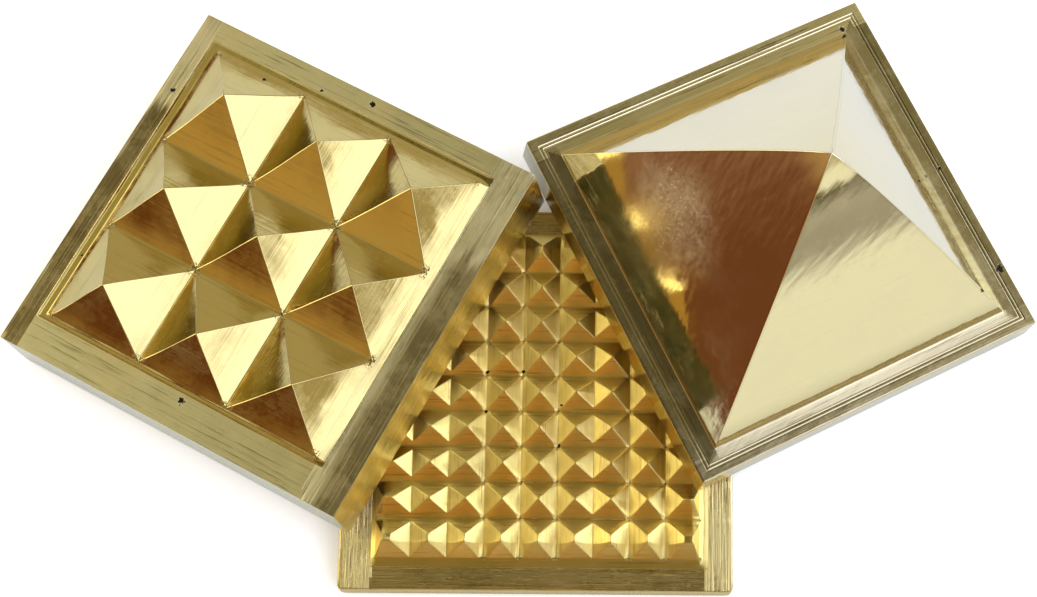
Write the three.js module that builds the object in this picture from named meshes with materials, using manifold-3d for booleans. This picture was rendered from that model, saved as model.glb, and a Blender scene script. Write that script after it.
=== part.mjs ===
// A vastu pyramid set: three loose square brass plates, shown fanned out.
// The plate with eighty-one small pyramids lies flat. The plate with nine
// pyramids and the plate with one large pyramid each lean on it, with one edge
// raised onto its tips and the opposite edge on the table.
// Millimetres, +Z up. The origin is the centre of the flat plate's underside.

import * as THREE from 'three';
import * as BufferGeometryUtils from 'three/addons/utils/BufferGeometryUtils.js';
import Module from 'manifold-3d';

const wasm = await Module();
wasm.setup();

// Sizes that the three plates share, so that they stack as one block
const plateSide = 50;
const cornerRadius = 0.6;
const edgeBreak = 0.3;
const arcSegments = 5;

// How far joined pieces are sunk into each other, and cuts run past a face
const sink = 0.2;
const overrun = 1;

// Flat plate: eighty-one pyramids in nine rows of nine
const smallPlate = {
	thickness: 3.6,
	rows: 9,
	valleyStep: 0.3,
	pyramidHeight: 2,
	x: { lowRim: 4.05, highRim: 3.1, lowBand: 0.6, highBand: 1.15, endFaceRun: 0.9, ridgeStub: 1.17 },
	y: { lowRim: 2.9, highRim: 3.3, lowBand: 1.2, highBand: 0.2, endFaceRun: 1.83, ridgeStub: 0.89 },
};

// Middle plate: nine pyramids, and a recess below that fits over the small ones
const middlePlate = {
	thickness: 9.4,
	rows: 3,
	valleyStep: 0.6,
	pyramidHeight: 4.8,
	x: { lowRim: 2.6, highRim: 4.4, lowBand: 2, highBand: 1.3, endFaceRun: 5.8, ridgeStub: 0, middleCell: 13.04 },
	y: { lowRim: 4.6, highRim: 2.8, lowBand: 0.8, highBand: 1.5, endFaceRun: 5.8, ridgeStub: 0, middleCell: 13.04 },
	frameWidth: 3.1,
	recessDepth: 6,
};

// Top plate: one large hollow pyramid that fits over the nine
const largePlate = {
	thickness: 4.8,
	rows: 1,
	valleyStep: 0.4,
	pyramidHeight: 29.4,
	x: { lowRim: 2.1, highRim: 1.9, lowBand: 1.4, highBand: 1.4 },
	y: { lowRim: 2, highRim: 2, lowBand: 1.4, highBand: 1.4 },
	frameWidth: 3.2,
	wallThickness: 2.7,
};

// How the two leaning plates lie: turned about the vertical, one edge raised
const restGap = 0.2;
const middleTurn = THREE.MathUtils.degToRad(-28.42);
const largeTurn = THREE.MathUtils.degToRad(-62.67);

// Where the middle plate's raised corner comes down, and the top plate beside it
const meetingX = 0.35;
const meetingOverhang = 0.6;
const cornerGap = 0.05;
const largeOverhang = 6.78;

const brass = {
	small: new THREE.MeshStandardMaterial({ color: 0xcfa13e, roughness: 0.35, metalness: 1 }),
	middle: new THREE.MeshStandardMaterial({ color: 0xc9ad62, roughness: 0.4, metalness: 1 }),
	large: new THREE.MeshStandardMaterial({ color: 0xcdb679, roughness: 0.25, metalness: 1 }),
};

// A closed geometry as a solid that can be cut and joined
function solidFrom(geometry) {
	const bare = geometry.clone();
	bare.deleteAttribute('normal');
	bare.deleteAttribute('uv');
	const merged = BufferGeometryUtils.mergeVertices(bare);
	const vertProperties = new Float32Array(merged.attributes.position.array);
	const triVerts = new Uint32Array(merged.index.array);
	return new wasm.Manifold(new wasm.Mesh({ numProp: 3, vertProperties, triVerts }));
}

// A finished solid as a geometry for a mesh
function geometryFrom(solid) {
	const mesh = solid.getMesh();
	const geometry = new THREE.BufferGeometry();
	geometry.setAttribute('position', new THREE.BufferAttribute(new Float32Array(mesh.vertProperties), 3));
	geometry.setIndex(new THREE.BufferAttribute(new Uint32Array(mesh.triVerts), 1));
	geometry.computeVertexNormals();
	return geometry;
}

// The slab of a plate, standing on z = 0, with rounded corners and broken edges
function slab(thickness) {
	const half = plateSide / 2 - edgeBreak;
	const radius = cornerRadius - edgeBreak;
	const outline = new THREE.Shape();
	outline.moveTo(-half + radius, -half);
	outline.lineTo(half - radius, -half);
	outline.absarc(half - radius, -half + radius, radius, -Math.PI / 2, 0);
	outline.lineTo(half, half - radius);
	outline.absarc(half - radius, half - radius, radius, 0, Math.PI / 2);
	outline.lineTo(-half + radius, half);
	outline.absarc(-half + radius, half - radius, radius, Math.PI / 2, Math.PI);
	outline.lineTo(-half, -half + radius);
	outline.absarc(-half + radius, -half + radius, radius, Math.PI, Math.PI * 1.5);
	const geometry = new THREE.ExtrudeGeometry(outline, {
		depth: thickness - 2 * edgeBreak,
		bevelEnabled: true,
		bevelSize: edgeBreak,
		bevelThickness: edgeBreak,
		bevelSegments: 1,
		curveSegments: arcSegments,
	});
	geometry.translate(0, 0, edgeBreak);
	return solidFrom(geometry);
}

// The saw-tooth line of the rows across a plate, as places with heights above the
// rim. It starts and ends below the rim, where the sloping band meets the slab.
function rowProfile(plate, side) {
	const top = plate.valleyStep + plate.pyramidHeight;
	const low = -plateSide / 2 + side.lowRim;
	const high = plateSide / 2 - side.highRim;
	const lowFoot = low + side.lowBand;
	const highFoot = high - side.highBand;
	const lowSunk = side.lowBand * sink / plate.valleyStep;
	const highSunk = side.highBand * sink / plate.valleyStep;
	return [
		{ at: low - lowSunk, height: -sink },
		{ at: lowFoot, height: plate.valleyStep },
		...toothPoints(plate, side, lowFoot, highFoot, top),
		{ at: highFoot, height: plate.valleyStep },
		{ at: high + highSunk, height: -sink },
	];
}

// The tips and the grooves between them. The outer tips can carry a short level
// ridge before the end face falls away.
function toothPoints(plate, side, lowFoot, highFoot, top) {
	if (plate.rows === 1) {
		return [{ at: (lowFoot + highFoot) / 2, height: top }];
	}
	const firstTip = lowFoot + side.endFaceRun + side.ridgeStub;
	const lastTip = highFoot - side.endFaceRun - side.ridgeStub;
	const centre = (firstTip + lastTip) / 2;
	const pitch = (lastTip - firstTip) / (plate.rows - 1);
	const points = [];
	if (side.ridgeStub > 0) {
		points.push({ at: firstTip - side.ridgeStub, height: top });
	}
	for (let row = 0; row < plate.rows; row += 1) {
		points.push({ at: firstTip + row * pitch, height: top });
		if (row < plate.rows - 1) {
			const plain = firstTip + (row + 0.5) * pitch;
			const beside = centre + Math.sign(plain - centre) * side.middleCell / 2;
			points.push({ at: side.middleCell ? beside : plain, height: plate.valleyStep });
		}
	}
	if (side.ridgeStub > 0) {
		points.push({ at: lastTip + side.ridgeStub, height: top });
	}
	return points;
}

// The raised field of a plate: at each place the lower of the two row profiles,
// which is what straight grooves cut both ways leave behind
function field(plate) {
	const across = rowProfile(plate, plate.x);
	const along = rowProfile(plate, plate.y);
	const surface = across.map((p) => along.map((q) => [p.at, q.at, plate.thickness + Math.min(p.height, q.height)]));
	const floor = plate.thickness - overrun;
	const base = across.map((p) => along.map((q) => [p.at, q.at, floor]));
	const positions = [];
	const quad = (a, b, c, d) => positions.push(...a, ...b, ...c, ...a, ...c, ...d);
	const lastX = across.length - 1;
	const lastY = along.length - 1;
	for (let i = 0; i < lastX; i += 1) {
		for (let j = 0; j < lastY; j += 1) {
			addCell(quad, surface, i, j);
			quad(base[i][j], base[i][j + 1], base[i + 1][j + 1], base[i + 1][j]);
		}
		quad(base[i][0], base[i + 1][0], surface[i + 1][0], surface[i][0]);
		quad(surface[i][lastY], surface[i + 1][lastY], base[i + 1][lastY], base[i][lastY]);
	}
	for (let j = 0; j < lastY; j += 1) {
		quad(surface[0][j], surface[0][j + 1], base[0][j + 1], base[0][j]);
		quad(base[lastX][j], base[lastX][j + 1], surface[lastX][j + 1], surface[lastX][j]);
	}
	const geometry = new THREE.BufferGeometry();
	geometry.setAttribute('position', new THREE.Float32BufferAttribute(positions, 3));
	return solidFrom(geometry);
}

// One cell of the field, split along the diagonal that runs uphill
function addCell(quad, surface, i, j) {
	const corner = surface[i][j];
	const nextX = surface[i + 1][j];
	const nextY = surface[i][j + 1];
	const opposite = surface[i + 1][j + 1];
	if (Math.abs(corner[2] - opposite[2]) >= Math.abs(nextX[2] - nextY[2])) {
		quad(corner, nextX, opposite, nextY);
	} else {
		quad(nextX, opposite, nextY, corner);
	}
}

// A block that fills the recess under a plate, with an overrun below the plate
function recess(plate) {
	const width = plateSide - 2 * plate.frameWidth;
	const geometry = new THREE.BoxGeometry(width, width, plate.recessDepth + overrun);
	geometry.translate(0, 0, (plate.recessDepth - overrun) / 2);
	return solidFrom(geometry);
}

// A four-sided spike that follows the inside of the large pyramid's walls
function pyramidHollow(plate) {
	const foot = (plateSide - plate.x.lowRim - plate.x.highRim - plate.x.lowBand - plate.x.highBand) / 2;
	const slope = plate.pyramidHeight / foot;
	const wallAcross = plate.wallThickness * Math.hypot(1, slope) / slope;
	const outerHalfAtBottom = foot + (plate.thickness + plate.valleyStep) / slope;
	const innerHalf = Math.min(outerHalfAtBottom - wallAcross, plateSide / 2 - plate.frameWidth);
	const mouthHalf = innerHalf + overrun / slope;
	const tipHeight = innerHalf * slope;
	const geometry = new THREE.ConeGeometry(mouthHalf * Math.SQRT2, tipHeight + overrun, 4, 1);
	geometry.rotateY(Math.PI / 4);
	geometry.rotateX(Math.PI / 2);
	geometry.translate(0, 0, (tipHeight - overrun) / 2);
	return solidFrom(geometry);
}

// Turn a plate, raise one edge and set it down so that its low edge is on the
// table and the named bottom corner stands over the given place
function leanPlate(mesh, rotation, cornerX, cornerY, placeX, placeY) {
	const low = (plateSide / 2 - edgeBreak) * Math.sin(leanFor(mesh.userData.frameWidth));
	const corner = new THREE.Vector3(cornerX, cornerY, 0).applyEuler(rotation);
	mesh.rotation.copy(rotation);
	mesh.position.set(placeX - corner.x, placeY - corner.y, low);
}

// The lean that brings the frame's inner bottom edge just over the small tips
function leanFor(frameWidth) {
	const tipHeight = smallPlate.thickness + smallPlate.valleyStep + smallPlate.pyramidHeight;
	return Math.asin((tipHeight + restGap) / (plateSide - edgeBreak - frameWidth));
}

function namedMesh(name, solid, material, frameWidth) {
	const mesh = new THREE.Mesh(geometryFrom(solid), material);
	mesh.name = name;
	mesh.userData.frameWidth = frameWidth;
	return mesh;
}

function flatPlate() {
	const solid = slab(smallPlate.thickness).add(field(smallPlate));
	return namedMesh('base_plate_81_pyramids', solid, brass.small, 0);
}

function leaningMiddlePlate() {
	const body = slab(middlePlate.thickness).add(field(middlePlate));
	const solid = body.subtract(recess(middlePlate));
	const mesh = namedMesh('middle_plate_9_pyramids', solid, brass.middle, middlePlate.frameWidth);
	const lean = leanFor(middlePlate.frameWidth);
	const rotation = new THREE.Euler(0, -lean, middleTurn, 'ZYX');
	const half = plateSide / 2;
	leanPlate(mesh, rotation, half, half, meetingX, half + meetingOverhang);
	return mesh;
}

function leaningLargePlate() {
	const body = slab(largePlate.thickness).add(field(largePlate));
	const solid = body.subtract(pyramidHollow(largePlate));
	const mesh = namedMesh('top_plate_single_pyramid', solid, brass.large, largePlate.frameWidth);
	const lean = leanFor(largePlate.frameWidth);
	const rotation = new THREE.Euler(-lean, 0, largeTurn, 'ZYX');
	const half = plateSide / 2;
	const alongX = Math.cos(largeTurn);
	const alongY = Math.sin(largeTurn);
	const placeX = meetingX - largeOverhang * alongX - cornerGap * alongY;
	const placeY = half + meetingOverhang - largeOverhang * alongY + cornerGap * alongX;
	leanPlate(mesh, rotation, -half, -half, placeX, placeY);
	return mesh;
}

const vastuPyramid = new THREE.Group();
vastuPyramid.add(flatPlate(), leaningMiddlePlate(), leaningLargePlate());

export default vastuPyramid;
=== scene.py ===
# A vastu pyramid set: three loose square plates of cast brass, milled and polished,
# fanned out as in the photograph. The plate of eighty-one small pyramids lies flat, and
# the plate of nine and the plate of one large pyramid lean on it. All lengths are metres.

import bisect
import math

import bmesh
import bpy
from mathutils import Euler, Matrix, Vector


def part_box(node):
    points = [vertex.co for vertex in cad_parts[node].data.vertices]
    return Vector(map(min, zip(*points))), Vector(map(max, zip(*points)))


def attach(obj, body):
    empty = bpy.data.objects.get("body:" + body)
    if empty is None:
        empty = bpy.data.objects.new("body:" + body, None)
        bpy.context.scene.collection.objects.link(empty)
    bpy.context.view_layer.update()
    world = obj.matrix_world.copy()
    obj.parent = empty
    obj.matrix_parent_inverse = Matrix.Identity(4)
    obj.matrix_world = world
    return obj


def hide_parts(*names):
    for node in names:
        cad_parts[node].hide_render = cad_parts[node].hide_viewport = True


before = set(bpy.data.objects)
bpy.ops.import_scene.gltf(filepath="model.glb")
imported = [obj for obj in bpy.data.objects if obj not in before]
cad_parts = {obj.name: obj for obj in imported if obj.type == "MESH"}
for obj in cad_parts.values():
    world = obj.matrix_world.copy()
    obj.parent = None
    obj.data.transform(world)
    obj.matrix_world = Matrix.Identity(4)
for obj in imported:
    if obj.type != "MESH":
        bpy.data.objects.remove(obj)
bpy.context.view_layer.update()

# The view of the photograph: from above and a little in front, through a long lens.
# The picture was cropped off-centre, which the lens shift repeats.
MM = 0.001
camera_data = bpy.data.cameras.new("photo_camera")
camera = bpy.data.objects.new("photo_camera", camera_data)
bpy.context.scene.collection.objects.link(camera)
bpy.context.scene.camera = camera
camera_data.sensor_width = 36
camera_data.lens = 81.4
camera_data.shift_x = -0.1438
camera_data.shift_y = -0.055
camera_data.clip_start = 0.01
camera.location = Vector((5.437, -62.442, 301.143)) * MM
looking = Vector((0.036, 0.270, -0.962)).normalized()
camera_right = looking.cross(Vector((-0.013, 0.963, 0.269))).normalized()
camera_up = camera_right.cross(looking).normalized()
axes = Matrix((camera_right, camera_up, -looking)).transposed()
camera.rotation_mode = "QUATERNION"
camera.rotation_quaternion = axes.to_quaternion()


# Flat plate with eighty-one pyramids.
# A square of cast brass, 50 mm wide and 3.6 mm thick at its rim. Nine V grooves each way
# leave nine rows of nine small pyramids, with a narrow sloping band between them and the
# flat rim. It is milled all over, filed at the edges and left bright.
SIDE = 50 * MM
SHALLOW_RANK = 1.22


def row_line(
    low_rim,
    high_rim,
    low_band,
    high_band,
    tips,
    end_run=0,
    stub=0,
    cell=0,
    shallow=None,
    ledges="",
    scribed=False,
):
    """Places of the straight rows across a plate: 0 on the rim, 1 in a groove, 2 on a ridge.

    A groove numbered in shallow stops at the shallow rank. The others go on down to 1.
    A side named in ledges has a step in its band. On a scribed rim the rank is the distance
    out from the band in millimetres, below zero, so that scribed lines turn at the corners.
    A single tip has three more rows up each flank, so that its large faces can be crowned.
    """
    low = -SIDE / 2 + low_rim
    high = SIDE / 2 - high_rim
    low_foot = low + low_band
    high_foot = high - high_band
    steps = [0.15, 0.28, 0.41, 0.62, 0.75, 0.88, 1.0] if scribed else []
    line = [(-SIDE / 2, -1.0 if scribed else 0)]
    line += [(low - step * MM, -step) for step in reversed(steps)]
    line.append((low, 0))
    if "low" in ledges:
        line += [(low + 0.22 * low_band, 0.4), (low + 0.62 * low_band, 0.4)]
    line.append((low_foot, 1))
    first = low_foot + end_run + stub
    last = high_foot - end_run - stub
    if tips == 1:
        flank = (high_foot - low_foot) / 2
        line += [(low_foot + climb * flank, 1 + climb) for climb in (0.25, 0.5, 0.75, 1)]
        line += [(high_foot - climb * flank, 1 + climb) for climb in (0.75, 0.5, 0.25)]
    else:
        pitch = (last - first) / (tips - 1)
        middle = (first + last) / 2
        if stub:
            line.append((first - stub, 2))
        for tip in range(tips):
            line.append((first + tip * pitch, 2))
            if tip < tips - 1:
                groove = first + (tip + 0.5) * pitch
                if cell:
                    groove = middle + math.copysign(cell / 2, groove - middle)
                if shallow is None:
                    line.append((groove, 1))
                elif tip in shallow:
                    line.append((groove, SHALLOW_RANK))
                else:
                    half = (SHALLOW_RANK - 1) * pitch / 2
                    line += [(groove - half, SHALLOW_RANK), (groove, 1), (groove + half, SHALLOW_RANK)]
        if stub:
            line.append((last + stub, 2))
    line.append((high_foot, 1))
    if "high" in ledges:
        line += [(high - 0.62 * high_band, 0.4), (high - 0.22 * high_band, 0.4)]
    line.append((high, 0))
    line += [(high + step * MM, -step) for step in steps]
    return line + [(SIDE / 2, -1.0 if scribed else 0)]


CORNER_SIGNS = ((-1, -1), (1, -1), (1, 1), (-1, 1))


def flat_underside(mesh, foot):
    mesh.faces.new(list(reversed(foot)))


def plate_blank(name, thickness, across, along, underside=flat_underside):
    """A closed slab standing on z = 0, its top marked out in rows but still uncut."""
    mesh = bmesh.new()
    row_across = mesh.verts.layers.float.new("row_across")
    row_along = mesh.verts.layers.float.new("row_along")
    grid = []
    for x, rank_x in across:
        column = [mesh.verts.new((x, y, thickness)) for y, _ in along]
        for vertex, (_, rank_y) in zip(column, along):
            vertex[row_across] = rank_x
            vertex[row_along] = rank_y
        grid.append(column)
    for i in range(len(across) - 1):
        for j in range(len(along) - 1):
            mesh.faces.new((grid[i][j], grid[i + 1][j], grid[i + 1][j + 1], grid[i][j + 1]))
    foot = [mesh.verts.new((sx * SIDE / 2, sy * SIDE / 2, 0)) for sx, sy in CORNER_SIGNS]
    front = [column[0] for column in grid]
    back = [column[-1] for column in grid]
    mesh.faces.new([foot[0], foot[1], *reversed(front)])
    mesh.faces.new([foot[1], foot[2], *reversed(grid[-1])])
    mesh.faces.new([foot[2], foot[3], *back])
    mesh.faces.new([foot[3], foot[0], *grid[0]])
    underside(mesh, foot)
    data = bpy.data.meshes.new(name)
    mesh.to_mesh(data)
    mesh.free()
    piece = bpy.data.objects.new(name, data)
    bpy.context.scene.collection.objects.link(piece)
    return piece


def add_node(tree, kind, inputs=None, **settings):
    """A node with its settings, each input a plain value or another node's output."""
    made = tree.nodes.new(kind)
    for key, value in settings.items():
        setattr(made, key, value)
    for socket, value in (inputs or {}).items():
        if isinstance(value, bpy.types.NodeSocket):
            tree.links.new(value, made.inputs[socket])
        else:
            made.inputs[socket].default_value = value
    return made


def calc(tree, operation, *values):
    return add_node(tree, "ShaderNodeMath", dict(enumerate(values)), operation=operation).outputs[0]


def new_tree(name, kind, inputs, outputs):
    """A node group with its named inputs and outputs, and the two end nodes inside."""
    tree = bpy.data.node_groups.new(name, kind)
    for label, socket, value in inputs:
        made = tree.interface.new_socket(name=label, in_out="INPUT", socket_type=socket)
        if value is not None:
            made.default_value = value
    for label, socket in outputs:
        tree.interface.new_socket(name=label, in_out="OUTPUT", socket_type=socket)
    return tree, tree.nodes.new("NodeGroupInput"), tree.nodes.new("NodeGroupOutput")


# The cutter: lowers or raises each place to the lower of the two rows that cross there,
# blunts the tips a little, and marks which edges are broken and by how much.
GEOMETRY = "NodeSocketGeometry"
FLOAT = "NodeSocketFloat"
INTEGER = "NodeSocketInt"
cutter, given, result = new_tree(
    "cut_pyramid_rows",
    "GeometryNodeTree",
    [
        ("Geometry", GEOMETRY, None),
        ("Groove Step", FLOAT, 0.0),
        ("Pyramid Height", FLOAT, 0.0),
        ("Tip Wear", FLOAT, 0.0),
        ("Seed", INTEGER, 0),
        ("Ridge Break", FLOAT, 0.16),
        ("Groove Break", FLOAT, 0.3),
        ("Rim Edge Break", FLOAT, 0.5),
        ("Scribe Depth", FLOAT, 0.0),
    ],
    [("Geometry", GEOMETRY)],
)


def row_rank(tree, name):
    return add_node(
        tree,
        "GeometryNodeInputNamedAttribute",
        {"Name": name},
        data_type="FLOAT",
    ).outputs["Attribute"]


def row_rise(name):
    """How far a row stands over the rim, from its rank."""
    rank = row_rank(cutter, name)
    foot = add_node(cutter, "ShaderNodeClamp", {"Value": rank}).outputs[0]
    foot = calc(cutter, "MULTIPLY", foot, given.outputs["Groove Step"])
    flank = calc(cutter, "MAXIMUM", calc(cutter, "SUBTRACT", rank, 1.0), 0.0)
    return calc(cutter, "MULTIPLY_ADD", flank, given.outputs["Pyramid Height"], foot)


rise = calc(cutter, "MINIMUM", row_rise("row_across"), row_rise("row_along"))
rank = calc(cutter, "MINIMUM", row_rank(cutter, "row_across"), row_rank(cutter, "row_along"))
SCRIBED_AT = (-0.75, -0.28)
SCRIBED_HALF_WIDTH = 0.13
scribed = 0.0
for line in SCRIBED_AT:
    beside = calc(cutter, "ABSOLUTE", calc(cutter, "SUBTRACT", rank, line))
    near = calc(cutter, "SUBTRACT", 1.0, calc(cutter, "DIVIDE", beside, SCRIBED_HALF_WIDTH))
    scribed = calc(cutter, "ADD", scribed, calc(cutter, "MAXIMUM", near, 0.0))
rise = calc(cutter, "SUBTRACT", rise, calc(cutter, "MULTIPLY", scribed, given.outputs["Scribe Depth"]))
ragged = add_node(
    cutter,
    "FunctionNodeRandomValue",
    {"Seed": given.outputs["Seed"]},
    data_type="FLOAT",
).outputs[1]
above_grooves = calc(cutter, "MULTIPLY", given.outputs["Groove Step"], 1.5)
on_ridge = calc(cutter, "GREATER_THAN", rise, above_grooves)
blunt = calc(cutter, "MULTIPLY", calc(cutter, "MULTIPLY", ragged, given.outputs["Tip Wear"]), on_ridge)
upward = add_node(cutter, "ShaderNodeCombineXYZ", {"Z": calc(cutter, "SUBTRACT", rise, blunt)})
cut = add_node(
    cutter,
    "GeometryNodeSetPosition",
    {"Geometry": given.outputs["Geometry"], "Offset": upward.outputs[0]},
)
even = add_node(cutter, "GeometryNodeInputMeshFaceIsPlanar", {"Threshold": 0.0005})
bent = calc(cutter, "SUBTRACT", 1.0, even.outputs[0])
folded = add_node(
    cutter,
    "GeometryNodeTriangulate",
    {"Mesh": cut.outputs[0], "Selection": bent},
    quad_method="LONGEST_DIAGONAL",
)
fold_angle = add_node(cutter, "GeometryNodeInputMeshEdgeAngle")
is_fold = calc(cutter, "GREATER_THAN", fold_angle.outputs["Unsigned Angle"], 0.01)
is_hollow = calc(cutter, "LESS_THAN", fold_angle.outputs["Signed Angle"], 0.0)
edge_place = add_node(
    cutter,
    "ShaderNodeSeparateXYZ",
    {0: add_node(cutter, "GeometryNodeInputPosition").outputs[0]},
)
nearly_out = SIDE / 2 - 0.01 * MM
out_x = calc(cutter, "GREATER_THAN", calc(cutter, "ABSOLUTE", edge_place.outputs["X"]), nearly_out)
out_y = calc(cutter, "GREATER_THAN", calc(cutter, "ABSOLUTE", edge_place.outputs["Y"]), nearly_out)
on_rim_edge = calc(cutter, "MAXIMUM", out_x, out_y)
upright = calc(cutter, "MULTIPLY", out_x, out_y)
rim_share = calc(cutter, "MULTIPLY", on_rim_edge, given.outputs["Rim Edge Break"])
groove_more = calc(cutter, "SUBTRACT", given.outputs["Groove Break"], given.outputs["Ridge Break"])
edge_share = calc(cutter, "MULTIPLY_ADD", is_hollow, groove_more, given.outputs["Ridge Break"])
ridge_share = calc(cutter, "MULTIPLY", calc(cutter, "SUBTRACT", 1.0, on_rim_edge), edge_share)
share = calc(cutter, "MAXIMUM", upright, calc(cutter, "ADD", rim_share, ridge_share))
marked = add_node(
    cutter,
    "GeometryNodeStoreNamedAttribute",
    {
        "Geometry": folded.outputs[0],
        "Name": "bevel_weight_edge",
        "Value": calc(cutter, "MULTIPLY", share, is_fold),
    },
    data_type="FLOAT",
    domain="EDGE",
)
cutter.links.new(marked.outputs[0], result.inputs[0])

# The hand that finishes a plate: its faces come out slightly crowned or hollow and never
# quite even, as filed and buffed metal does.
hand, given, result = new_tree(
    "hand_finish",
    "GeometryNodeTree",
    [
        ("Geometry", GEOMETRY, None),
        ("Fineness", INTEGER, 1),
        ("Face Crown", FLOAT, 0.0),
        ("Foot Hollow", FLOAT, 0.0),
        ("Tip Round", FLOAT, 0.0),
        ("Unevenness", FLOAT, 0.0),
        ("Wave Size", FLOAT, 0.004),
        ("Seed", INTEGER, 0),
        ("Brass", "NodeSocketMaterial", None),
        ("Cast Brass", "NodeSocketMaterial", None),
    ],
    [("Geometry", GEOMETRY)],
)
finer = add_node(
    hand,
    "GeometryNodeSubdivideMesh",
    {"Mesh": given.outputs["Geometry"], "Level": given.outputs["Fineness"]},
)
rank = calc(hand, "MINIMUM", row_rank(hand, "row_across"), row_rank(hand, "row_along"))
climb = add_node(hand, "ShaderNodeClamp", {"Value": calc(hand, "SUBTRACT", rank, 1.0)}).outputs[0]
bow = calc(hand, "MULTIPLY", calc(hand, "MULTIPLY", climb, calc(hand, "SUBTRACT", 1.0, climb)), 4.0)
crown = calc(hand, "MULTIPLY", bow, given.outputs["Face Crown"])
down = calc(hand, "SUBTRACT", 1.0, climb)
hollow = calc(hand, "MULTIPLY", calc(hand, "MULTIPLY", climb, 6.75), calc(hand, "MULTIPLY", down, down))
crown = calc(hand, "SUBTRACT", crown, calc(hand, "MULTIPLY", hollow, given.outputs["Foot Hollow"]))
near_tip = calc(hand, "POWER", climb, 12.0)
rounded = calc(hand, "MULTIPLY", near_tip, given.outputs["Tip Round"])
place = add_node(hand, "GeometryNodeInputPosition").outputs[0]
waves = add_node(
    hand,
    "ShaderNodeTexNoise",
    {
        "Vector": place,
        "W": calc(hand, "MULTIPLY", given.outputs["Seed"], 7.3),
        "Scale": calc(hand, "DIVIDE", 1.0, given.outputs["Wave Size"]),
        "Detail": 1.0,
    },
    noise_dimensions="4D",
).outputs["Fac"]
inside = add_node(hand, "ShaderNodeClamp", {"Value": rank}).outputs[0]
wave = calc(hand, "MULTIPLY", calc(hand, "SUBTRACT", waves, 0.5), given.outputs["Unevenness"])
outward = add_node(hand, "GeometryNodeInputNormal").outputs[0]
along_normal = add_node(
    hand,
    "ShaderNodeVectorMath",
    {0: outward, "Scale": calc(hand, "MULTIPLY", wave, inside)},
    operation="SCALE",
).outputs[0]
upward = add_node(hand, "ShaderNodeCombineXYZ", {"Z": calc(hand, "SUBTRACT", crown, rounded)}).outputs[0]
shift = add_node(hand, "ShaderNodeVectorMath", {0: along_normal, 1: upward}, operation="ADD").outputs[0]
moved = add_node(hand, "GeometryNodeSetPosition", {"Geometry": finer.outputs[0], "Offset": shift})
smooth = add_node(hand, "GeometryNodeSetShadeSmooth", {0: moved.outputs[0]})
whole = add_node(hand, "GeometryNodeRealizeInstances", {0: smooth.outputs[0]})
dressed = add_node(
    hand,
    "GeometryNodeSetMaterial",
    {"Geometry": whole.outputs[0], "Material": given.outputs["Brass"]},
)
facing_up = add_node(hand, "ShaderNodeSeparateXYZ", {0: outward}).outputs["Z"]
below = add_node(
    hand,
    "GeometryNodeSetMaterial",
    {
        "Geometry": dressed.outputs[0],
        "Selection": calc(hand, "LESS_THAN", facing_up, -0.1),
        "Material": given.outputs["Cast Brass"],
    },
)
hand.links.new(below.outputs[0], result.inputs[0])


def run_tree(piece, tree, values):
    """Puts a geometry tree on a piece, with its inputs set by the sockets' identifiers."""
    modifier = piece.modifiers.new(tree.name, "NODES")
    modifier.node_group = tree
    for item in tree.interface.items_tree:
        if item.in_out == "INPUT" and item.name in values:
            modifier[item.identifier] = values[item.name]


RIM_LINE = 3 * MM
STEEP_BELOW = 0.3
ALONG_Y_SHIFT = 60
STEEP_SHIFT = 120


def set_tool_path(piece, across, along):
    """A map in millimetres, its first axis along the cutter's path, and exact row ranks.

    Where the cutter ran along y, or the face is a steep side, the second axis is shifted.
    """
    mesh = piece.data
    rows = {}
    for name, line, axis in (("row_across", across, 0), ("row_along", along, 1)):
        places = [place for place, _ in line]
        ranks = []
        for vertex in mesh.vertices:
            place = min(max(vertex.co[axis], -SIDE / 2), SIDE / 2)
            k = min(max(bisect.bisect_left(places, place), 1), len(line) - 1)
            (start, low), (end, high) = line[k - 1], line[k]
            rank = low + (high - low) * (place - start) / (end - start)
            ranks.append(rank if vertex.co.z > RIM_LINE else 0.0)
        attribute = mesh.attributes.get(name) or mesh.attributes.new(name, "FLOAT", "POINT")
        attribute.data.foreach_set("value", ranks)
        rows[axis] = ranks
    field = [place for place, rank in across if rank > 0]
    layer = mesh.uv_layers.new(name="tool_path")
    for face in mesh.polygons:
        normal = face.normal
        steep = abs(normal.z) < STEEP_BELOW
        corner_rank = max(min(rows[0][v], rows[1][v]) for v in face.vertices)
        if corner_rank > 0.001 or steep:
            runs_along_y = abs(normal.x) > abs(normal.y)
        else:
            runs_along_y = not field[0] - 0.5 * MM < face.center.x < field[-1] + 0.5 * MM
        for corner in face.loop_indices:
            x, y, z = mesh.vertices[mesh.loops[corner].vertex_index].co / MM
            path, beside = (y, x) if runs_along_y else (x, y)
            beside = z if steep else beside
            shift = ALONG_Y_SHIFT * runs_along_y + STEEP_SHIFT * steep
            layer.data[corner].uv = (path, beside + shift)


def cut_and_finish(piece, across, along, cutting, finishing):
    """Runs cutter, edge breaking and hand finish, and keeps the result as a plain mesh."""
    run_tree(piece, cutter, cutting)
    bevel = piece.modifiers.new("broken_edges", "BEVEL")
    bevel.limit_method = "WEIGHT"
    bevel.width = 0.6 * MM
    bevel.segments = 3
    run_tree(piece, hand, finishing)
    bpy.context.view_layer.update()
    evaluated = piece.evaluated_get(bpy.context.evaluated_depsgraph_get())
    baked = bpy.data.meshes.new_from_object(evaluated)
    piece.modifiers.clear()
    piece.data = baked
    set_tool_path(piece, across, along)


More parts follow.
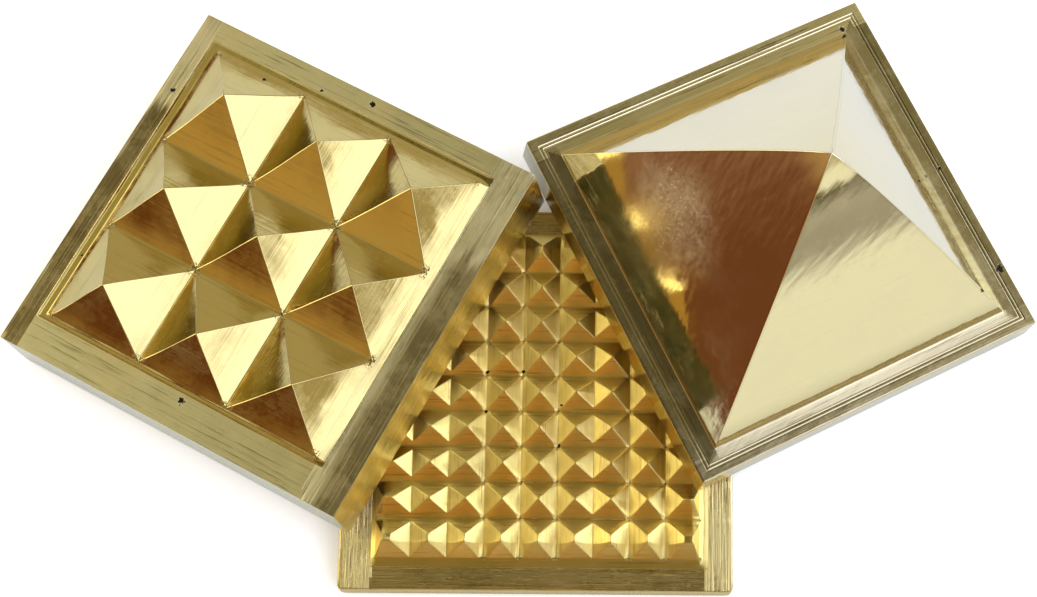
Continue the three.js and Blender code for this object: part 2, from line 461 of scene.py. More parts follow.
def set_in_place(piece, node, body, rotation):
    """Turns a plate into the place of its CAD node, evens its shading and hands it over."""
    piece.data.transform(Euler(rotation, "XYZ").to_matrix().to_4x4())
    places = [vertex.co for vertex in piece.data.vertices]
    low = Vector([min(place[k] for place in places) for k in range(3)])
    high = Vector([max(place[k] for place in places) for k in range(3)])
    node_low, node_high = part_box(node)
    middle = (Vector(node_low) + Vector(node_high)) / 2 - (low + high) / 2
    piece.data.transform(Matrix.Translation(middle))
    piece.modifiers.new("even_shading", "WEIGHTED_NORMAL")
    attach(piece, body)
    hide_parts(node)


# What brass shows when seen closely, each as a node group that every plate's brass uses.
VECTOR = "NodeSocketVector"
SHADER_TREE = "ShaderNodeTree"


def smooth_step(tree, value, low, high, out_low=0.0, out_high=1.0):
    values = {"Value": value, "From Min": low, "From Max": high, "To Min": out_low, "To Max": out_high}
    return add_node(tree, "ShaderNodeMapRange", values, interpolation_type="SMOOTHSTEP").outputs[0]


def stretched_noise(tree, vector, scale, detail, offset=(0, 0, 0)):
    """Noise over a vector that is scaled by its own amount in each direction."""
    scaled = add_node(tree, "ShaderNodeMapping", {"Vector": vector, "Location": offset, "Scale": scale})
    values = {"Vector": scaled.outputs[0], "Scale": 1.0, "Detail": detail, "Roughness": 0.6}
    return add_node(tree, "ShaderNodeTexNoise", values).outputs["Fac"]


# Lines of the milling cutter: fine ones side by side, broken here and there, and coarser
# ones where the cutter chattered or a tooth was chipped.
tool_lines, given, result = new_tree(
    "tool_lines",
    SHADER_TREE,
    [("Path", VECTOR, None), ("Fine Per mm", FLOAT, 9.0), ("Coarse Per mm", FLOAT, 1.6)],
    [("Fine", FLOAT), ("Coarse", FLOAT)],
)
path = add_node(tool_lines, "ShaderNodeSeparateXYZ", {0: given.outputs["Path"]})
kinds = (("Fine", "Fine Per mm", 0.22, 3.0), ("Coarse", "Coarse Per mm", 0.05, 2.0))
for label, pitch, along_path, detail in kinds:
    beside = calc(tool_lines, "MULTIPLY", path.outputs["Y"], given.outputs[pitch])
    forward = calc(tool_lines, "MULTIPLY", path.outputs["X"], along_path)
    joined = add_node(tool_lines, "ShaderNodeCombineXYZ", {"X": forward, "Y": beside}).outputs[0]
    values = {"Vector": joined, "Scale": 1.0, "Detail": detail, "Roughness": 0.55}
    noise = add_node(tool_lines, "ShaderNodeTexNoise", values)
    tool_lines.links.new(noise.outputs["Fac"], result.inputs[label])

# Small gas pores of a casting, opened by the cutter: few, round and dark.
pores, given, result = new_tree(
    "casting_pores",
    SHADER_TREE,
    [("Place", VECTOR, None), ("Spacing", FLOAT, 5.0), ("Size", FLOAT, 0.2), ("Share", FLOAT, 0.3)],
    [("Pore", FLOAT)],
)
cells = add_node(
    pores,
    "ShaderNodeTexVoronoi",
    {"Vector": given.outputs["Place"], "Scale": calc(pores, "DIVIDE", 1.0, given.outputs["Spacing"])},
)
away = calc(pores, "MULTIPLY", cells.outputs["Distance"], given.outputs["Spacing"])
pick = add_node(pores, "ShaderNodeSeparateColor", {0: cells.outputs["Color"]})
chosen = calc(pores, "LESS_THAN", pick.outputs[0], given.outputs["Share"])
varied = calc(pores, "MULTIPLY_ADD", pick.outputs[1], 0.8, 0.4)
size = calc(pores, "MULTIPLY", given.outputs["Size"], varied)
ragged = calc(pores, "SUBTRACT", stretched_noise(pores, given.outputs["Place"], (6, 6, 6), 2.0), 0.5)
away = calc(pores, "MULTIPLY_ADD", ragged, calc(pores, "MULTIPLY", size, 1.2), away)
hole = smooth_step(pores, away, size, calc(pores, "MULTIPLY", size, 0.5))
pores.links.new(calc(pores, "MULTIPLY", hole, chosen), result.inputs["Pore"])

# Handling marks: thin scratches in two directions, and the dull film that brass gets.
handling, given, result = new_tree(
    "handling_marks",
    SHADER_TREE,
    [("Place", VECTOR, None)],
    [("Scratch", FLOAT), ("Film", FLOAT)],
)
scratches = []
for angle, offset in ((0.5, (3, 1, 0)), (-0.9, (8, 5, 2))):
    turned = add_node(
        handling,
        "ShaderNodeVectorRotate",
        {"Vector": given.outputs["Place"], "Angle": angle},
        rotation_type="Z_AXIS",
    ).outputs[0]
    lines = stretched_noise(handling, turned, (0.12, 3.2, 3.2), 3.0, offset)
    scratches.append(smooth_step(handling, lines, 0.70, 0.76))
handling.links.new(calc(handling, "MAXIMUM", *scratches), result.inputs["Scratch"])
cloud = stretched_noise(handling, given.outputs["Place"], (0.16, 0.16, 0.16), 4.0)
speck = stretched_noise(handling, given.outputs["Place"], (1.4, 1.4, 1.4), 4.0)
film = calc(handling, "MULTIPLY_ADD", speck, 0.45, cloud)
handling.links.new(smooth_step(handling, film, 0.62, 0.86), result.inputs["Film"])

# Where the ridges get a painted highlight with painted shade beside them, where the grooves are darker
# and where nicks lie, from the ranks of the rows that cross there: ridges lie where both ranks are
# equal, grooves where the lower one is 1.
relief, given, result = new_tree(
    "ridge_sheen_grooves_and_nicks",
    SHADER_TREE,
    [
        ("Across", FLOAT, 0.0),
        ("Along", FLOAT, 0.0),
        ("Ridge Width", FLOAT, 0.04),
        ("Rim To", FLOAT, 0.02),
        ("Place", VECTOR, None),
    ],
    [("Ridge", FLOAT), ("Shoulder", FLOAT), ("Groove", FLOAT), ("Nick", FLOAT), ("Rim", FLOAT)],
)
lower = calc(relief, "MINIMUM", given.outputs["Across"], given.outputs["Along"])
higher = calc(relief, "MAXIMUM", given.outputs["Across"], given.outputs["Along"])
apart = calc(relief, "SUBTRACT", higher, lower)
raised = smooth_step(relief, lower, 1.02, 1.10)
broken = stretched_noise(relief, given.outputs["Place"], (0.9, 0.9, 0.9), 3.0)
varied = calc(relief, "MULTIPLY_ADD", broken, 1.6, 0.2)
width = calc(relief, "MULTIPLY", given.outputs["Ridge Width"], varied)
ridge = calc(relief, "MULTIPLY", smooth_step(relief, apart, width, 0.0), raised)
relief.links.new(ridge, result.inputs["Ridge"])
far_side = calc(relief, "MULTIPLY", width, 3.0)
shoulder = calc(relief, "MULTIPLY", smooth_step(relief, apart, far_side, width), raised)
relief.links.new(calc(relief, "SUBTRACT", shoulder, ridge), result.inputs["Shoulder"])
from_groove = calc(relief, "ABSOLUTE", calc(relief, "SUBTRACT", lower, 1.0))
relief.links.new(smooth_step(relief, from_groove, 0.10, 0.0), result.inputs["Groove"])
higher_from_groove = calc(relief, "ABSOLUTE", calc(relief, "SUBTRACT", higher, 1.0))
crossing = smooth_step(relief, higher_from_groove, 0.16, 0.03)
crumbs = stretched_noise(relief, given.outputs["Place"], (3.5, 3.5, 3.5), 3.0, (2, 9, 4))
crossing = calc(relief, "MULTIPLY", crossing, calc(relief, "GREATER_THAN", lower, 0.8))
nick = calc(relief, "MULTIPLY", crossing, smooth_step(relief, crumbs, 0.52, 0.60))
relief.links.new(nick, result.inputs["Nick"])
inside_rim = calc(relief, "SUBTRACT", given.outputs["Rim To"], 0.02)
relief.links.new(smooth_step(relief, lower, given.outputs["Rim To"], inside_rim), result.inputs["Rim"])


def mix_color(tree, factor, first, second, how="MIX"):
    values = {"Factor": factor}
    made = add_node(tree, "ShaderNodeMix", values, data_type="RGBA", blend_type=how)
    for socket, value in ((6, first), (7, second)):
        if isinstance(value, tuple):
            made.inputs[socket].default_value = (*value, 1)
        else:
            tree.links.new(value, made.inputs[socket])
    return made.outputs[2]


def use_group(tree, group, inputs):
    return add_node(tree, "ShaderNodeGroup", inputs, node_tree=group)


PORE_COLOR = (0.05, 0.04, 0.02)
HAZE_COLOR = (0.95, 0.88, 0.75)
HAZE_REACH = 12.0


def brass(name, look):
    """One plate's brass: its colour, how smooth its faces and rim are, its marks, and the painted shade
    and highlights on it.
    """
    material = bpy.data.materials.new(name)
    material.use_nodes = True
    tree = material.node_tree
    shader = tree.nodes["Principled BSDF"]
    shader.inputs["Metallic"].default_value = 1
    shader.inputs["Anisotropic"].default_value = look["anisotropic"]
    shader.inputs["Anisotropic Rotation"].default_value = 0.25
    tangent = add_node(tree, "ShaderNodeTangent", None, direction_type="UV_MAP", uv_map="tool_path")
    tree.links.new(tangent.outputs[0], shader.inputs["Tangent"])

    def times(first, second):
        return calc(tree, "MULTIPLY", first, second)

    def add_share(share, amount, value):
        return calc(tree, "MULTIPLY_ADD", share, amount, value)

    def between(share, first, second):
        """The first value where the share is 0, and the second where it is 1."""
        return add_share(share, calc(tree, "SUBTRACT", second, first), first)

    uv = add_node(tree, "ShaderNodeUVMap", None, uv_map="tool_path").outputs[0]
    place = add_node(tree, "ShaderNodeTexCoord").outputs["Object"]
    in_mm = add_node(
        tree,
        "ShaderNodeVectorMath",
        {0: place, "Scale": 1000.0},
        operation="SCALE",
    ).outputs[0]
    across = add_node(tree, "ShaderNodeAttribute", None, attribute_name="row_across").outputs["Fac"]
    along = add_node(tree, "ShaderNodeAttribute", None, attribute_name="row_along").outputs["Fac"]
    fine, coarse = use_group(
        tree,
        tool_lines,
        {"Path": uv, "Fine Per mm": look["fine"], "Coarse Per mm": look["coarse"]},
    ).outputs
    scratch, film = use_group(tree, handling, {"Place": in_mm}).outputs
    ridge, shoulder, groove, nick, rim = use_group(
        tree,
        relief,
        {
            "Across": across,
            "Along": along,
            "Ridge Width": look["ridge"],
            "Rim To": look["rim_to"],
            "Place": in_mm,
        },
    ).outputs
    pore = use_group(
        tree,
        pores,
        {
            "Place": in_mm,
            "Spacing": look["pore_spacing"],
            "Size": look["pore_size"],
            "Share": look["pore_share"],
        },
    ).outputs["Pore"]
    pore = calc(tree, "MAXIMUM", pore, times(nick, look["nicks"]))
    from_above = add_node(
        tree,
        "ShaderNodeVectorMath",
        {0: in_mm, 1: (1, 1, 0)},
        operation="MULTIPLY",
    ).outputs[0]
    ragged = calc(tree, "SUBTRACT", stretched_noise(tree, in_mm, (3, 3, 3), 2.0), 0.5)
    for x, y, size in look["pits"]:
        away = add_node(
            tree,
            "ShaderNodeVectorMath",
            {0: from_above, 1: (x, y, 0)},
            operation="DISTANCE",
        ).outputs["Value"]
        away = add_share(ragged, size * 2, away)
        pore = calc(tree, "MAXIMUM", pore, smooth_step(tree, away, size, size * 0.6))

    # Painted shade: darker bands on the rims stand in for the dark surroundings that they mirror. Each
    # side of the rim has its own share, stronger towards the outside, and it fades out along the side.
    # The steep faces have a painted share of their own.
    left, right, front_and_back = look["painted_shade"]
    path = add_node(tree, "ShaderNodeSeparateXYZ", {0: uv})
    beside = path.outputs["Y"]
    painted_shade = between(calc(tree, "GREATER_THAN", beside, ALONG_Y_SHIFT), left, right)
    from_middle = calc(tree, "ABSOLUTE", calc(tree, "SUBTRACT", beside, ALONG_Y_SHIFT))
    painted_shade = times(painted_shade, smooth_step(tree, from_middle, 20.8, 22.6, 0.25, 1.0))
    along_y = calc(tree, "GREATER_THAN", beside, ALONG_Y_SHIFT / 2)
    painted_shade = times(between(along_y, front_and_back, painted_shade), rim)
    steep = calc(tree, "GREATER_THAN", beside, STEEP_SHIFT - 10)
    painted_shade = between(steep, painted_shade, look["side_painted_shade"])
    fading = smooth_step(tree, path.outputs["X"], look["painted_shade_to"], look["painted_shade_to"] + 6)
    fading = times(fading, calc(tree, "SUBTRACT", 1.0, steep))
    mottled = stretched_noise(tree, uv, (0.10, 0.9, 1.0), 4.0, (1, 7, 3))
    mottled = add_share(fading, -0.45, mottled)
    painted_shade = times(painted_shade, smooth_step(tree, mottled, 0.10, 0.42))

    dark_line = times(smooth_step(tree, coarse, 0.46, 0.34), smooth_step(tree, fine, 0.42, 0.60))
    dark_line = times(dark_line, between(rim, look["streaks"], look["rim_streaks"]))
    dull_film = times(film, between(rim, look["film"], look["rim_film"]))
    # Darker in the grooves, and painted shade beside the ridges at half that amount.
    groove_and_shoulder_dark = calc(tree, "MAXIMUM", times(groove, look["groove_and_shoulder_dark"]), times(shoulder, look["groove_and_shoulder_dark"] * 0.5))
    color = mix_color(tree, rim, look["color"], look["rim_color"])
    # Painted shade on the rims and steep sides, in the dark colour.
    color = mix_color(tree, painted_shade, color, look["dark"])
    color = mix_color(tree, dark_line, color, look["dark"])
    color = mix_color(tree, dull_film, color, look["dull"])
    color = mix_color(tree, groove_and_shoulder_dark, color, look["dark"])
    # Painted highlight along the ridges, in a pale colour.
    color = mix_color(tree, times(ridge, look["ridge_shine"]), color, look["worn"])

    roughness = between(rim, look["roughness"], look["rim_roughness"])
    roughness = add_share(steep, look["side_roughness"] - look["rim_roughness"], roughness)
    roughness = add_share(calc(tree, "SUBTRACT", fine, 0.5), look["line_gloss"], roughness)
    roughness = add_share(film, look["film_gloss"], roughness)
    roughness = add_share(scratch, 0.12, roughness)
    roughness = add_share(pore, 0.5, roughness)

    # One worn patch where thumbs have rubbed the polish off.
    if "haze" in look:
        away = add_node(
            tree,
            "ShaderNodeVectorMath",
            {0: in_mm, 1: look["haze"]},
            operation="DISTANCE",
        ).outputs["Value"]
        cloudy = stretched_noise(tree, in_mm, (0.45, 0.45, 0.45), 5.0, (4, 4, 1))
        away = add_share(calc(tree, "SUBTRACT", cloudy, 0.5), 6.0, away)
        grain = times(stretched_noise(tree, in_mm, (2.5, 2.5, 2.5), 4.0), 0.8)
        haze = times(smooth_step(tree, away, HAZE_REACH, 0.0), grain)
        color = mix_color(tree, haze, color, HAZE_COLOR)
        roughness = add_share(haze, 0.45, roughness)
    color = mix_color(tree, pore, color, PORE_COLOR)
    tree.links.new(color, shader.inputs["Base Color"])
    tree.links.new(calc(tree, "MAXIMUM", roughness, 0.02), shader.inputs["Roughness"])

    height = add_share(coarse, look["chatter"], fine)
    height = times(height, between(rim, look["line_depth"], look["rim_line_depth"]))
    height = add_share(scratch, -look["scratch_depth"], height)
    height = add_share(pore, -0.08, height)
    turned = add_node(
        tree,
        "ShaderNodeVectorRotate",
        {"Vector": in_mm, "Angle": look["swell_turn"]},
        rotation_type="Z_AXIS",
    ).outputs[0]
    swell = stretched_noise(tree, turned, look["swell_scale"], 1.5, (5, 3, 1))
    height = add_share(swell, look["swell"], height)
    bump = add_node(tree, "ShaderNodeBump", {"Height": height, "Distance": MM})
    tree.links.new(bump.outputs[0], shader.inputs["Normal"])
    return material


small_brass = brass(
    "milled_brass_small",
    {
        "color": (0.88, 0.66, 0.19),
        "rim_color": (0.74, 0.58, 0.23),
        "dark": (0.36, 0.20, 0.06),
        "dull": (0.74, 0.58, 0.24),
        "worn": (0.97, 0.85, 0.52),
        "roughness": 0.32,
        "rim_roughness": 0.28,
        "anisotropic": 0.85,
        "fine": 7.0,
        "coarse": 2.8,
        "line_depth": 0.02,
        "rim_line_depth": 0.06,
        "chatter": 1.8,
        "streaks": 0.6,
        "rim_streaks": 1.0,
        "line_gloss": 0.25,
        "film": 0.2,
        "rim_film": 0.5,
        "film_gloss": 0.08,
        "groove_and_shoulder_dark": 0.08,
        "ridge": 0.05,
        "ridge_shine": 0.0,
        "nicks": 0.7,
        "pore_spacing": 5.5,
        "pore_size": 0.2,
        "pore_share": 0.25,
        "scratch_depth": 0.004,
        "swell": 0.02,
        "swell_scale": (0.5, 0.5, 0.5),
        "painted_shade_to": 40,
        "swell_turn": 0.0,
        "rim_to": 0.02,
        "pits": [
            (-6.7, 3.1, 0.25),
            (-2.0, 3.2, 0.28),
            (2.7, -6.5, 0.32),
            (2.9, -1.2, 0.22),
            (-6.8, -2.1, 0.22),
        ],
        # Painted shade, faint, on the front and back rims.
        "painted_shade": (0.0, 0.0, 0.12),
        "side_roughness": 0.25,
        "side_painted_shade": 0.15,
    },
)
cast_brass = brass(
    "cast_brass_underneath",
    {
        "color": (0.72, 0.53, 0.22),
        "rim_color": (0.72, 0.53, 0.22),
        "dark": (0.35, 0.24, 0.09),
        "dull": (0.55, 0.41, 0.19),
        "worn": (0.85, 0.66, 0.32),
        "roughness": 0.42,
        "rim_roughness": 0.42,
        "anisotropic": 0.0,
        "fine": 3.0,
        "coarse": 0.8,
        "line_depth": 0.012,
        "rim_line_depth": 0.012,
        "chatter": 1.0,
        "streaks": 0.2,
        "rim_streaks": 0.2,
        "line_gloss": 0.2,
        "film": 0.8,
        "rim_film": 0.8,
        "film_gloss": 0.2,
        "groove_and_shoulder_dark": 0.0,
        "ridge": 0.02,
        "ridge_shine": 0.0,
        "nicks": 0.0,
        "pore_spacing": 2.0,
        "pore_size": 0.22,
        "pore_share": 0.6,
        "scratch_depth": 0.004,
        "swell": 0.08,
        "swell_scale": (0.5, 0.5, 0.5),
        "painted_shade_to": 40,
        "swell_turn": 0.0,
        "rim_to": 0.02,
        "pits": [],
        # Painted shade on every side underneath.
        "painted_shade": (0.2, 0.2, 0.2),
        "side_roughness": 0.42,
        "side_painted_shade": 0.15,
    },
)
small_across = row_line(
    4.05 * MM, 3.1 * MM, 0.6 * MM, 1.15 * MM, 9, 0.9 * MM, 1.17 * MM, shallow=(0, 1, 5)
)
small_along = row_line(
    2.9 * MM, 3.3 * MM, 1.2 * MM, 0.2 * MM, 9, 1.83 * MM, 0.89 * MM, shallow=()
)
flat_plate = plate_blank("flat_plate_81", 3.6 * MM, small_across, small_along)
cut_and_finish(
    flat_plate,
    small_across,
    small_along,
    {
        "Groove Step": 0.3 * MM,
        "Pyramid Height": 2.0 * MM,
        "Tip Wear": 0.12 * MM,
        "Seed": 4,
        "Ridge Break": 0.16,
        "Groove Break": 0.15,
        "Rim Edge Break": 0.45,
    },
    {
        "Fineness": 1,
        "Unevenness": 0.05 * MM,
        "Wave Size": 2.5 * MM,
        "Seed": 2,
        "Brass": small_brass,
        "Cast Brass": cast_brass,
    },
)
set_in_place(flat_plate, "base_plate_81_pyramids", "flat_plate", (0, 0, 0))


# Middle plate with nine pyramids.
# A deeper cast plate, 9.4 mm at its rim, with three rows of three larger pyramids and,
# underneath, a square recess that fits over the small pyramids when the plates are
# stacked. Its pyramids are filed and brushed by hand after milling.
def hollow_underside(frame_width, top_corners):
    """A frame below, round a hollow that ends at the given corners or in one point."""
    def build(mesh, foot):
        inner = SIDE / 2 - frame_width
        mouth = [mesh.verts.new((sx * inner, sy * inner, 0)) for sx, sy in CORNER_SIGNS]
        for k in range(4):
            n = (k + 1) % 4
            mesh.faces.new((foot[n], foot[k], mouth[k], mouth[n]))
        top = [mesh.verts.new(place) for place in top_corners]
        for k in range(4):
            n = (k + 1) % 4
            if len(top) == 1:
                mesh.faces.new((mouth[n], mouth[k], top[0]))
            else:
                mesh.faces.new((mouth[n], mouth[k], top[k], top[n]))
        if len(top) > 1:
            mesh.faces.new(list(reversed(top)))
    return build


middle_brass = brass(
    "brushed_brass_middle",
    {
        "color": (0.67, 0.52, 0.17),
        "rim_color": (0.97, 0.88, 0.54),
        "dark": (0.25, 0.19, 0.08),
        "dull": (0.74, 0.60, 0.27),
        "worn": (0.97, 0.86, 0.60),
        "roughness": 0.1,
        "rim_roughness": 0.3,
        "anisotropic": 0.6,
        "fine": 6.0,
        "coarse": 2.2,
        "line_depth": 0.003,
        "rim_line_depth": 0.02,
        "chatter": 4.0,
        "streaks": 0.3,
        "rim_streaks": 0.7,
        "line_gloss": 0.2,
        "film": 0.15,
        "rim_film": 0.25,
        "film_gloss": 0.1,
        "groove_and_shoulder_dark": 0.08,
        "ridge": 0.03,
        "ridge_shine": 0.1,
        "nicks": 0.8,
        "pore_spacing": 6.0,
        "pore_size": 0.24,
        "pore_share": 0.35,
        "scratch_depth": 0.003,
        "swell": 0.06,
        "swell_scale": (0.22, 0.22, 0.22),
        "painted_shade_to": 8,
        "swell_turn": 0.0,
        "rim_to": 0.02,
        "pits": [
            (-22.0, 36.4, 0.45),
            (-36.2, 39.9, 0.3),
            (-48.3, 39.0, 0.4),
            (-28.7, 38.5, 0.25),
            (-44.3, -2.9, 0.5),
        ],
        # Painted shade on the left and right rims.
        "painted_shade": (1.0, 0.9, 0.0),
        "side_roughness": 0.07,
        "side_painted_shade": 0.1,
    },
)
# It leans with its frame on the table at one side and on the small tips at the other.
lean_middle = math.asin(6.1 / 46.6)
turn_middle = math.radians(-28.42)
end_run = 5.8 * MM
cell = 13.04 * MM
middle_across = row_line(
    2.6 * MM, 4.4 * MM, 2.0 * MM, 1.3 * MM, 3, end_run, cell=cell, ledges="low"
)
middle_along = row_line(
    4.6 * MM, 2.8 * MM, 0.8 * MM, 1.5 * MM, 3, end_run, cell=cell, ledges="low high"
)
recess_half = 21.9 * MM
recess_top = [(sx * recess_half, sy * recess_half, 6 * MM) for sx, sy in CORNER_SIGNS]
under_recess = hollow_underside(3.1 * MM, recess_top)
middle_plate = plate_blank("middle_plate_9", 9.4 * MM, middle_across, middle_along, under_recess)
cut_and_finish(
    middle_plate,
    middle_across,
    middle_along,
    {
        "Groove Step": 0.6 * MM,
        "Pyramid Height": 4.8 * MM,
        "Tip Wear": 0.15 * MM,
        "Seed": 9,
        "Ridge Break": 0.5,
        "Groove Break": 0.8,
        "Rim Edge Break": 0.5,
    },
    {
        "Fineness": 2,
        "Foot Hollow": 0.2 * MM,
        "Unevenness": 0.35 * MM,
        "Wave Size": 6 * MM,
        "Seed": 5,
        "Brass": middle_brass,
        "Cast Brass": cast_brass,
    },
)
set_in_place(
    middle_plate,
    "middle_plate_9_pyramids",
    "middle_plate",
    (0, -lean_middle, turn_middle),
)

# Top plate with the single pyramid.
# A thin cast plate with one large pyramid, hollow inside so that it fits over the nine
# pyramids of the middle plate. Its faces are buffed to a mirror and slightly crowned by
# the buffing wheel, its rim is milled in lines along each side.
large_brass = brass(
    "buffed_brass_large",
    {
        "color": (0.90, 0.77, 0.43),
        "rim_color": (0.89, 0.75, 0.40),
        "dark": (0.30, 0.23, 0.10),
        "dull": (0.84, 0.74, 0.45),
        "worn": (0.98, 0.90, 0.66),
        "roughness": 0.05,
        "rim_roughness": 0.2,
        "anisotropic": 0.3,
        "fine": 5.0,
        "coarse": 2.4,
        "line_depth": 0.0004,
        "rim_line_depth": 0.006,
        "chatter": 2.0,
        "streaks": 0.04,
        "rim_streaks": 1.0,
        "line_gloss": 0.05,
        "film": 0.25,
        "rim_film": 0.2,
        "film_gloss": 0.05,
        "groove_and_shoulder_dark": 0.3,
        "ridge": 0.008,
        "ridge_shine": 0.3,
        "nicks": 0.0,
        "pore_spacing": 7.0,
        "pore_size": 0.17,
        "pore_share": 0.2,
        "scratch_depth": 0.0008,
        "swell": 0.02,
        "swell_scale": (0.06, 0.7, 0.4),
        "painted_shade_to": 40,
        "haze": (16.3, 20.1, 19.4),
        "swell_turn": -0.93,
        "rim_to": 0.98,
        "pits": [
            (60.3, 17.5, 0.7),
            (52.6, 31.2, 0.3),
            (50.6, 29.7, 0.3),
            (56.9, 13.2, 0.3),
            (39.9, 50.5, 0.45),
        ],
        # Painted shade on the right, front and back rims.
        "painted_shade": (0.0, 0.65, 0.8),
        "side_roughness": 0.14,
        "side_painted_shade": 0.2,
    },
)
lean_large = math.asin(6.1 / 46.5)
turn_large = math.radians(-62.67)
large_across = row_line(2.1 * MM, 1.9 * MM, 1.4 * MM, 1.4 * MM, 1, scribed=True)
large_along = row_line(2 * MM, 2 * MM, 1.4 * MM, 1.4 * MM, 1, scribed=True)
# The hollow rises from inside the frame to one point, as steep as the pyramid above it.
hollow_height = 21.8 * 1.361 * MM
under_hollow = hollow_underside(3.2 * MM, [(0, 0, hollow_height)])
large_plate = plate_blank("large_plate_1", 4.8 * MM, large_across, large_along, under_hollow)
cut_and_finish(
    large_plate,
    large_across,
    large_along,
    {
        "Groove Step": 0.14 * MM,
        "Pyramid Height": 29.66 * MM,
        "Scribe Depth": 0.045 * MM,
        "Ridge Break": 0.2,
        "Groove Break": 0.3,
        "Rim Edge Break": 0.5,
    },
    {
        "Fineness": 2,
        "Face Crown": 0.9 * MM,
        "Tip Round": 0.7 * MM,
        "Unevenness": 0.10 * MM,
        "Wave Size": 16 * MM,
        "Seed": 3,
        "Brass": large_brass,
        "Cast Brass": cast_brass,
    },
)
set_in_place(
    large_plate,
    "top_plate_single_pyramid",
    "top_plate",
    (-lean_large, 0, turn_large),
)


# The table: a sheet of white paper that takes the plates' shadow. It is white to the eye,
# and in the brass it is a pale grey, cooler behind the plates, up to the table's front end.
bpy.ops.mesh.primitive_plane_add(size=6, location=(0, 0, -0.2 * MM))
table = bpy.context.object
table.name = "table"
paper = bpy.data.materials.new("white_paper")
paper.use_nodes = True
tree = paper.node_tree
sheet = tree.nodes["Principled BSDF"]
sheet.inputs["Roughness"].default_value = 0.9
sheet.inputs["Specular IOR Level"].default_value = 0.1
path = add_node(tree, "ShaderNodeLightPath")
whiteness = mix_color(tree, path.outputs["Is Glossy Ray"], (0.8, 0.8, 0.8), (0.3, 0.3, 0.3))
tree.links.new(whiteness, sheet.inputs["Base Color"])
place = add_node(tree, "ShaderNodeTexCoord").outputs["Object"]
backward = add_node(tree, "ShaderNodeSeparateXYZ", {0: place}).outputs["Y"]
PAPER_IN_FRONT = (0.58, 0.63, 0.64)
PAPER_BEHIND = (0.60, 0.68, 0.91)
PAST_THE_END = (0.02, 0.015, 0.0)
TO_END = (0.7, -0.7, 0)
behind = smooth_step(tree, backward, -0.03, 0.06)
mirrored = mix_color(tree, behind, PAPER_IN_FRONT, PAPER_BEHIND)
from_end = add_node(tree, "ShaderNodeVectorMath", {0: place, 1: TO_END}, operation="DOT_PRODUCT")
past_end = smooth_step(tree, from_end.outputs["Value"], 0.17, 0.24)
mirrored = mix_color(tree, past_end, mirrored, PAST_THE_END)
tone = mix_color(tree, path.outputs["Is Glossy Ray"], (0.75, 0.75, 0.75), mirrored)
either = calc(tree, "MAXIMUM", path.outputs["Is Camera Ray"], path.outputs["Is Glossy Ray"])
# Near the plates the paper's glow is darkened by ambient occlusion: a painted shadow.
open_sky = add_node(tree, "ShaderNodeAmbientOcclusion", {"Distance": 0.03}, samples=4).outputs["AO"]
glow_after_painted_shadow = calc(tree, "MULTIPLY", either, smooth_step(tree, open_sky, 0.05, 0.75))
glow = add_node(tree, "ShaderNodeEmission", {"Color": tone, "Strength": glow_after_painted_shadow})
both = add_node(tree, "ShaderNodeAddShader", {0: sheet.outputs[0], 1: glow.outputs[0]})
tree.links.new(both.outputs[0], tree.nodes["Material Output"].inputs["Surface"])
table.data.materials.append(paper)

# The studio, as the brass mirrors it: a dim warm room in front and on the left with its
# hallway, pale walls on the right and at the back, a pale ceiling with the dark stand of the
# camera across it, two soft boxes, a window, a lit wall past the table's end, and a chair.
world = bpy.data.worlds.new("studio")
bpy.context.scene.world = world
world.use_nodes = True
tree = world.node_tree
toward = add_node(tree, "ShaderNodeTexCoord").outputs["Generated"]
split = add_node(tree, "ShaderNodeSeparateXYZ", {0: toward})
to_right, to_back, up = split.outputs


def facing(direction):
    values = {0: toward, 1: direction}
    return add_node(tree, "ShaderNodeVectorMath", values, operation="DOT_PRODUCT").outputs[1]


def masked(*masks):
    joined = masks[0]
    for mask in masks[1:]:
        joined = calc(tree, "MULTIPLY", joined, mask)
    return joined


ROOM_LOW = (0.155, 0.056, 0.025)
ROOM_HIGH = (0.62, 0.42, 0.18)
ROOM_FRONT = (0.82, 0.35, 0.10)
PALE_WALL = (0.52, 0.47, 0.36)
CEILING = (0.44, 0.42, 0.27)
HALLWAY = (0.55, 0.33, 0.22)
CAMERA_STAND = (0.13, 0.115, 0.06)
RIGHT_BOX = (1.95, 2.15, 3.1)
LEFT_BOX = (3.0, 2.9, 2.2)
WINDOW = (3.1, 3.8, 5.2)
TABLE_END = (0.12, 0.10, 0.045)
LIT_WALL = (0.95, 0.98, 0.95)
DARK_CHAIR = (0.05, 0.055, 0.03)
room = mix_color(tree, smooth_step(tree, up, 0.28, 0.58), ROOM_LOW, ROOM_HIGH)
room_front = masked(smooth_step(tree, to_back, -0.70, -0.90), smooth_step(tree, up, 0.24, 0.36))
room = mix_color(tree, room_front, room, ROOM_FRONT)
room = mix_color(tree, smooth_step(tree, facing((0.85, 0.5, 0)), -0.35, 0.15), room, PALE_WALL)
room = mix_color(tree, smooth_step(tree, up, 0.62, 0.78), room, CEILING)
hallway = masked(
    smooth_step(tree, to_back, -0.27, -0.08),
    smooth_step(tree, facing((-1, 0, 0)), 0.8, 0.95),
)
room = mix_color(tree, hallway, room, HALLWAY)
aside = calc(tree, "ABSOLUTE", to_right)
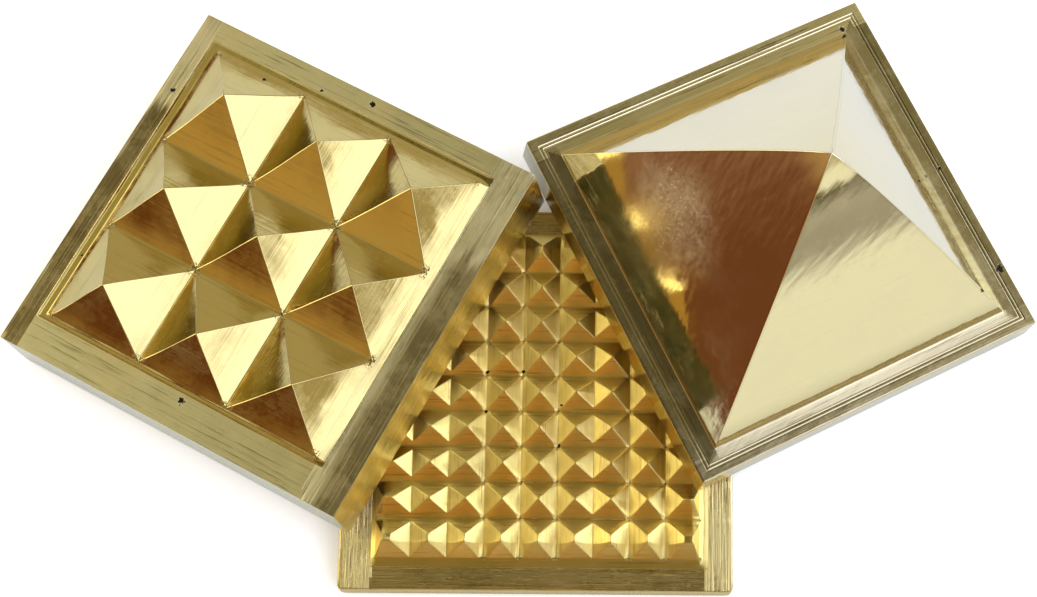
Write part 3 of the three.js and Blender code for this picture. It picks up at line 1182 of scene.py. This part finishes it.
stand = masked(smooth_step(tree, aside, 0.36, 0.26), smooth_step(tree, up, 0.74, 0.86))
room = mix_color(tree, stand, room, CAMERA_STAND)
right_box = masked(
    smooth_step(tree, up, 0.60, 0.66),
    smooth_step(tree, to_right, 0.77, 0.70),
    smooth_step(tree, up, 0.95, 0.90),
    smooth_step(tree, to_right, 0.28, 0.36),
    smooth_step(tree, to_back, 0.30, 0.18),
)
room = mix_color(tree, right_box, room, RIGHT_BOX)
left_box = smooth_step(tree, facing((-0.864, 0.270, 0.424)), 0.91, 0.97)
room = mix_color(tree, left_box, room, LEFT_BOX)
window = smooth_step(tree, facing((0.904, 0.270, 0.331)), 0.90, 0.97)
room = mix_color(tree, window, room, WINDOW)
table_end = masked(
    smooth_step(tree, up, 0.17, 0.10),
    smooth_step(tree, facing(TO_END), 0.35, 0.7),
)
above_end = mix_color(tree, smooth_step(tree, up, 0.0, 0.05), TABLE_END, LIT_WALL)
room = mix_color(tree, table_end, room, above_end)
chair = smooth_step(tree, facing((0.31, -0.93, 0.19)), 0.93, 0.975)
room = mix_color(tree, chair, room, DARK_CHAIR)
surroundings = tree.nodes["Background"]
tree.links.new(room, surroundings.inputs["Color"])
white = add_node(tree, "ShaderNodeBackground", {"Color": (1, 1, 1, 1)})
path = add_node(tree, "ShaderNodeLightPath")
choose = add_node(
    tree,
    "ShaderNodeMixShader",
    {0: path.outputs["Is Camera Ray"], 1: surroundings.outputs[0], 2: white.outputs[0]},
)
tree.links.new(choose.outputs[0], tree.nodes["World Output"].inputs["Surface"])

soft_box = bpy.data.lights.new("soft_box", "AREA")
soft_box.shape = "RECTANGLE"
soft_box.size = 0.8
soft_box.size_y = 0.6
soft_box.energy = 2.8
lamp = bpy.data.objects.new("soft_box", soft_box)
bpy.context.scene.collection.objects.link(lamp)
lamp.location = Vector((0.80, -0.35, 0.50)) * 0.8
lamp.rotation_euler = (-lamp.location).to_track_quat("-Z", "Y").to_euler()
lamp.visible_glossy = False

bpy.context.scene.view_settings.view_transform = "Standard"
